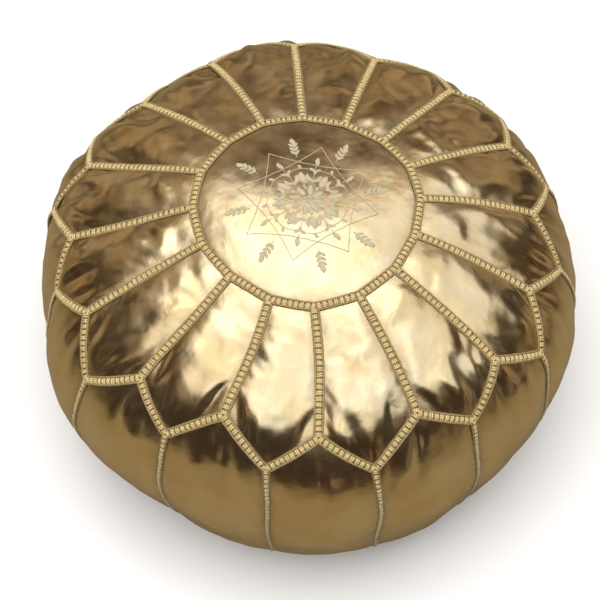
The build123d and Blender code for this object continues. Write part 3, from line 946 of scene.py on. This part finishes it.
def base_half(name, sign, node):
    """Half of the base: leather flat on the floor, pressed up along the zip."""
    rows, columns = BASE_GRID
    v, u = np.meshgrid(np.linspace(-1, 1, rows), np.linspace(0, 1, columns), indexing="ij")
    turn = v * BASE_TURN
    edge = BASE_R - SEAM_GAP
    y = edge * np.sin(turn)
    slot = SLOT_HALF_W * np.sqrt(np.clip((SLOT_HALF_L - np.abs(y)) / SLOT_END_L, 0, 1))
    inner = np.maximum(slot, MEETING_GAP)
    x = inner + u * (edge * np.cos(turn) - inner)
    radius = np.hypot(x, y)
    z = CHANNEL_DEPTH * eased(1 - (beyond_channel(x, y) + CHANNEL_INSET) / CHANNEL_SLOPE)
    z = np.maximum(z, SEAM_SINK * np.exp(-((edge - radius) / EDGE_TUCK)))
    azimuth = np.arctan2(y, sign * x)
    creases = np.clip(noise_at(np.stack([azimuth, radius, np.ones_like(radius)], -1) * CREASE_SCALE), 0, 1)
    z = z + CREASE_H * creases * np.clip(beyond_channel(x, y) / CREASE_FADE, 0, 1)
    points = np.stack([sign * x, y, z + FLOOR_GAP], -1)
    if sign < 0:
        points = points[::-1]
    down = np.zeros((rows * columns, 3))
    down[:, 2] = -1
    return leather_piece(name, points.reshape(-1, 3), down, BASE_GRID, BASE_TURN_IN, "base_leather", node)


bases = [base_half("base_left", -1, "base_panel_left"), base_half("base_right", 1, "base_panel_right")]


# ---- inside ----
BLOB_GRID = (64, 72)
COTTON = 0.0008
# How far inside the cover a form is, how high and fine its lumps are, and its least heights.
BAG = {"inset": 0.0105, "lump": 0.0030, "scale": 16, "floor_z": 0.0036, "over_zip_z": 0.0175}
WADDING = {"inset": 0.0150, "lump": 0.0040, "scale": 34, "floor_z": 0.0075, "over_zip_z": 0.0259}
ZIP_SLOPE = 0.008


def blob(name, node, slot, inset, lump, scale, floor_z, over_zip_z):
    """A closed soft form that follows the cover's inside, with room over the zip."""
    rows, columns = BLOB_GRID
    total = sum(ARC_LENGTHS) + FOOT_C[0]
    turns = np.arange(columns) * 2 * pi / columns
    s, azimuth = np.meshgrid(np.linspace(0, total, rows + 2)[1:-1], turns, indexing="ij")
    points = place(azimuth, s, -inset)
    lumps = np.array([[noise.fractal(Vector(q * scale), 1.0, 2.0, 3) for q in row] for row in points])
    points = points + outward_at(azimuth, s) * (lumps * lump)[..., None]
    near_zip = eased(1 - beyond_channel(points[..., 0], points[..., 1]) / ZIP_SLOPE)
    points[..., 2] = np.maximum(points[..., 2], floor_z + (over_zip_z - floor_z) * near_zip)
    top, bottom = points[0].mean(0), points[-1].mean(0)
    faces = grid_faces(rows, columns, closed=True)
    faces += grid_caps(rows, columns).tolist()
    piece = new_object(name, np.concatenate([points.reshape(-1, 3), [top, bottom]]), faces)
    smooth = piece.modifiers.new("smooth", "SUBSURF")
    smooth.levels = smooth.render_levels = 1
    assembled(piece, slot, node)
    return piece


inner_bag = blob("cotton_bag", "inner_bag", "bag_cotton", **BAG)
thick = inner_bag.modifiers.new("cotton", "SOLIDIFY")
thick.thickness = COTTON
thick.offset = -1
wadding = blob("wadding", "stuffing", "stuffing", **WADDING)


# ---- materials ----
class Graph:
    """A tree of shader nodes.  A value given to it is a socket to link, or a constant to set."""

    def __init__(self, tree, coordinates):
        self.tree = tree
        self.where = self.node("TexCoord").outputs[coordinates]

    def put(self, socket, value):
        if isinstance(value, bpy.types.NodeSocket):
            self.tree.links.new(value, socket)
        else:
            socket.default_value = (*value, 1) if socket.type == "RGBA" else value

    def node(self, kind, settings=None, **inputs):
        made = self.tree.nodes.new("ShaderNode" + kind)
        for key, value in (settings or {}).items():
            setattr(made, key, value)
        for key, value in inputs.items():
            self.put(made.inputs[key.replace("_", " ")], value)
        return made

    def mixed(self, factor, a, b):
        """Two colours mixed by a factor."""
        made = self.node("Mix", {"data_type": "RGBA"})
        for slot, value in ((0, factor), (6, a), (7, b)):
            self.put(made.inputs[slot], value)
        return made.outputs[2]

    def between(self, value, low, high, to_low=0.0, to_high=1.0):
        """A value carried from one range to another, and held inside it."""
        limits = {"From_Min": low, "From_Max": high, "To_Min": to_low, "To_Max": to_high}
        return self.node("MapRange", Value=value, **limits).outputs["Result"]

    def maths(self, operation, a, b=0.0):
        made = self.node("Math", {"operation": operation})
        for slot, value in enumerate((a, b)):
            self.put(made.inputs[slot], value)
        return made.outputs[0]

    def times(self, a, b):
        return self.maths("MULTIPLY", a, b)

    def parts(self, vector):
        return self.node("SeparateXYZ", Vector=vector).outputs

    def noise(self, scale, detail=3.0, rough=0.5, stretch=(1.0, 1.0, 1.0)):
        where = self.where
        if stretch != (1.0, 1.0, 1.0):
            where = self.node("Mapping", Vector=where, Scale=stretch).outputs[0]
        made = self.node("TexNoise", Vector=where, Scale=scale, Detail=detail, Roughness=rough)
        return made.outputs["Fac"]


class Finish(Graph):
    """A material whose patterns lie in object coordinates, in metres."""

    def __init__(self, name, **plain):
        self.material = bpy.data.materials.new(name)
        self.material.use_nodes = True
        super().__init__(self.material.node_tree, "Object")
        self.shader = self.tree.nodes["Principled BSDF"]
        for key, value in plain.items():
            self.shade(key.replace("_", " "), value)

    def shade(self, name, value):
        self.put(self.shader.inputs[name], value)

    def stored(self, name):
        return self.node("Attribute", {"attribute_name": name}).outputs

    def bumped(self, *layers):
        """Bump layers, coarse to fine: each a height, its strength and its depth in metres."""
        normal = None
        for height, strength, depth in layers:
            made = self.node("Bump", Height=height, Strength=strength, Distance=depth)
            if normal:
                self.put(made.inputs["Normal"], normal)
            normal = made.outputs["Normal"]
        self.shade("Normal", normal)


def foil_leather(name, light, deep, seam_soil_and_shade_colour, rough, metal, coat):
    """Leather under gold foil: mottled, grained, and worn dull at its seams, where soil and painted shade
    darken it.
    """
    f = Finish(name, Metallic=metal, Coat_Weight=coat, Coat_Roughness=0.14)
    patches = f.between(f.noise(26, 4), 0.35, 0.68)
    specks = f.between(f.noise(190, 3, 0.6), 0.52, 0.72)
    colour = f.mixed(f.times(specks, 0.25), f.mixed(patches, light, deep), deep)
    uneven = f.between(f.noise(160, 2), 0.3, 0.7, 0.35, 0.9)
    # Near the seams the colour goes towards the seam colour: partly soil, partly painted shade in the
    # seams' creases.
    soil_and_seam_shade = f.times(f.stored("seam")["Fac"], uneven)
    f.shade("Base Color", f.mixed(soil_and_seam_shade, colour, seam_soil_and_shade_colour))
    gloss = f.between(f.noise(60, 4), 0.3, 0.7, *rough)
    f.shade("Roughness", f.maths("ADD", gloss, f.times(soil_and_seam_shade, 0.35)))
    grain = f.node("TexVoronoi", Vector=f.where, Scale=950.0).outputs["Distance"]
    f.bumped((f.noise(42, 2), 0.22, 0.0030), (f.noise(150, 2), 0.12, 0.0008), (grain, 0.12, 0.00025))
    return f.material


def thread(name, light, dark, twist, gloss):
    """Plied thread: slanting strands with darker lines between them, painted shade in their grooves."""
    f = Finish(name, Roughness=gloss, Sheen_Weight=0.10, Sheen_Roughness=0.4)
    strand = f.parts(f.stored("strand")["Vector"])
    angle = f.maths("ARCTAN2", strand["Y"], strand["X"])
    wave = f.maths("SINE", f.maths("ADD", f.times(strand["Z"], twist), angle))
    plies = f.between(wave, -1, 0.2)
    # Painted shade: the length of a strand value's sideways part is its shade, and shaded thread is
    # coloured towards half its dark colour.
    turned = f.node("CombineXYZ", X=strand["X"], Y=strand["Y"]).outputs[0]
    size = f.node("VectorMath", {"operation": "LENGTH"}, Vector=turned).outputs["Value"]
    open_to_light = f.between(size, LEAST_SHADE, 0.9)
    uneven = f.between(f.noise(220), 0.3, 0.7)
    colour = f.mixed(f.times(uneven, 0.4), f.mixed(plies, dark, light), dark)
    painted_shade_colour = tuple(0.5 * part for part in dark)
    f.shade("Base Color", f.mixed(open_to_light, painted_shade_colour, colour))
    f.bumped((plies, 0.6, 0.0003), (f.noise(2600, 2), 0.25, 0.0001))
    return f.material


def woven(name, light, dark, scale):
    """Cloth in plain weave, from two crossed waves of threads."""
    f = Finish(name, Roughness=0.85, Sheen_Weight=0.2)
    spot = f.parts(f.where)
    over, under = (f.maths("SINE", f.times(f.maths("ADD", spot[side], spot["Z"]), scale)) for side in "XY")
    weave = f.between(f.times(over, under), -1, 1)
    stains = f.between(f.noise(40, 4), 0.4, 0.8, 0, 0.35)
    f.shade("Base Color", f.mixed(stains, f.mixed(weave, dark, light), dark))
    f.bumped((f.noise(90), 0.3, 0.001), (weave, 0.5, 0.0002))
    return f.material


def matted_cotton():
    """Cotton wadding: matted fibre with lint and hollows."""
    f = Finish("wadding", Roughness=1.0, Sheen_Weight=0.4)
    fibre = f.noise(160, 6, 0.7, stretch=(1.0, 1.0, 4.0))
    f.shade("Base Color", f.mixed(f.between(fibre, 0.35, 0.65), (0.72, 0.68, 0.60), (0.90, 0.88, 0.83)))
    f.bumped((f.noise(30, 4), 0.6, 0.004), (fibre, 0.8, 0.0012))
    return f.material


def zip_metal():
    """Brushed brass, darker where it has not been rubbed."""
    f = Finish("zip_brass", Metallic=1.0)
    brushed = f.noise(2400, stretch=(1.0, 0.08, 1.0))
    worn = f.between(f.noise(320, 4, 0.6), 0.38, 0.62)
    f.shade("Base Color", f.mixed(worn, (0.36, 0.25, 0.10), (0.78, 0.60, 0.29)))
    f.shade("Roughness", f.between(brushed, 0.3, 0.7, 0.22, 0.42))
    f.bumped((brushed, 0.2, 0.00008))
    return f.material


# Colours: the lighter one, the darker one and, for leather, the soil and painted shade along its seams.
GOLD = (0.92, 0.79, 0.53), (0.84, 0.65, 0.35), (0.30, 0.20, 0.09)
DULL_GOLD = (0.62, 0.47, 0.26), (0.48, 0.35, 0.18), (0.20, 0.14, 0.07)
BRAID = (0.69, 0.545, 0.27), (0.36, 0.26, 0.105)
EMBROIDERED = (0.62, 0.55, 0.38), (0.36, 0.30, 0.19)
cotton = woven("bag_cotton", (0.86, 0.82, 0.73), (0.62, 0.58, 0.49), 5200)
tape = woven("zip_tape", (0.42, 0.32, 0.19), (0.20, 0.15, 0.08), 9000)
brass = zip_metal()

WEARS = (
    (foil_leather("gold_foil_leather", *GOLD, (0.15, 0.27), 1.0, 0.25), covers),
    (foil_leather("base_foil_leather", *DULL_GOLD, (0.38, 0.55), 0.6, 0.0), bases),
    (thread("braid_thread", *BRAID, 3200, 0.45), braids),
    (thread("embroidery_thread", *EMBROIDERED, 5200, 0.40), threads),
    (cotton, [inner_bag]),
    (matted_cotton(), [wadding]),
)
for finish, wearers in WEARS:
    for piece in wearers:
        piece.data.materials.append(finish)

ZIP_FINISHES = {
    tape: "tape_left tape_right",
    cotton: "stitches",
    brass: "teeth_left teeth_right top_stops bottom_stop slider pull_tab",
}
for finish, names in ZIP_FINISHES.items():
    for name in names.split():
        zip_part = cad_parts["zip_" + name]
        if not zip_part.material_slots:
            zip_part.data.materials.append(finish)
        for part_slot in zip_part.material_slots:
            part_slot.material = finish


# ---- stage ----
FLOOR_HALF = 4.0
FLOOR_PALE = (0.86, 0.86, 0.86)
# The floor that the leather mirrors is painted darker and warmer: a painted reflection on the leather's
# lower sides.
FLOOR_AS_PAINTED_REFLECTION = (0.215, 0.172, 0.102)
corners = [(x * FLOOR_HALF, y * FLOOR_HALF, 0) for x, y in ((-1, -1), (1, -1), (1, 1), (-1, 1))]
floor = new_object("floor", corners, [[0, 1, 2, 3]], smooth=False)
floor_finish = Finish("floor", Roughness=0.9, Specular_IOR_Level=0.1)
is_mirrored = floor_finish.node("LightPath").outputs["Is Glossy Ray"]
floor_finish.shade("Base Color", floor_finish.mixed(is_mirrored, FLOOR_PALE, FLOOR_AS_PAINTED_REFLECTION))
floor.data.materials.append(floor_finish.material)


def area_light(name, at, target, sizes, power, colour, glossy=True):
    """A rectangular softbox.  With glossy False, it isn't mirrored in the leather."""
    data = bpy.data.lights.new(name, "AREA")
    data.shape = "RECTANGLE"
    data.size, data.size_y = sizes
    data.energy = power
    data.color = colour
    lamp = bpy.data.objects.new(name, data)
    lamp.location = at
    lamp.rotation_mode = "QUATERNION"
    lamp.rotation_quaternion = (Vector(target) - Vector(at)).to_track_quat("-Z", "Y")
    lamp.visible_glossy = glossy
    scene.collection.objects.link(lamp)


WHITE = (1.0, 1.0, 1.0)
COOL = (0.92, 0.98, 1.0)
# The softboxes that face straight down: where, how large, their power and their colour.
SOFTBOXES = {
    "overhead": ((0.36, 0.17, 1.8), (2.2, 2.25), 13.2, WHITE),
    "window": ((-0.10, 0.5, 1.78), (1.1, 0.8), 2.0, COOL),
    "strip_left": ((-0.26, -0.42, 1.76), (0.26, 0.9), 0.30, COOL),
    "strip_right": ((0.38, -0.30, 1.76), (0.32, 0.9), 0.36, COOL),
}
for name, (at, sizes, power, colour) in SOFTBOXES.items():
    area_light(name, at, (at[0], at[1], 0), sizes, power, colour)
area_light("fill", (-0.3, -0.6, 2.6), (0, 0, 0), (2.6, 2.6), 95, WHITE, glossy=False)

# The leather mirrors a dim, warm room: brown shadows and a few paler walls.
ROOM_SHADOWS = (0.052, 0.028, 0.027), (0.036, 0.033, 0.018)
ROOM_WALLS = (0.40, 0.295, 0.185)
world = bpy.data.worlds.new("studio")
scene.world = world
world.use_nodes = True
sky = Graph(world.node_tree, "Generated")
behind = sky.times(sky.parts(sky.where)["Y"], 0.10)
walls = sky.between(sky.maths("ADD", sky.noise(3.4, 3, 0.55), behind), 0.48, 0.66)
shadows = sky.mixed(sky.between(sky.noise(5.0, 2), 0.42, 0.58), *ROOM_SHADOWS)
is_seen = sky.node("LightPath").outputs["Is Camera Ray"]
backdrop = sky.mixed(is_seen, sky.mixed(walls, shadows, ROOM_WALLS), WHITE)
sky.put(sky.tree.nodes["Background"].inputs["Color"], backdrop)

# ---- camera ----
CAMERA_AZIMUTH = radians(-3.58)
CAMERA_ELEVATION = radians(58.83)
CAMERA_DISTANCE = 1.2327
CAMERA_AIM_Z = 0.160
FRAME_RIGHT = 0.0068
FRAME_UP = 0.0125
camera = bpy.data.objects.new("camera", bpy.data.cameras.new("camera"))
camera.data.lens = 74.7
camera.data.sensor_width = 36
level = cos(CAMERA_ELEVATION)
back = Vector((sin(CAMERA_AZIMUTH) * level, -cos(CAMERA_AZIMUTH) * level, sin(CAMERA_ELEVATION)))
right = Vector((cos(CAMERA_AZIMUTH), sin(CAMERA_AZIMUTH), 0))
up = back.cross(right)
centre = Vector((0, 0, CAMERA_AIM_Z))
camera.location = centre + back * CAMERA_DISTANCE
camera.rotation_mode = "QUATERNION"
aim = centre - right * FRAME_RIGHT - up * FRAME_UP
camera.rotation_quaternion = (aim - camera.location).to_track_quat("-Z", "Y")
scene.collection.objects.link(camera)
scene.camera = camera
scene.view_settings.view_transform = "Standard"
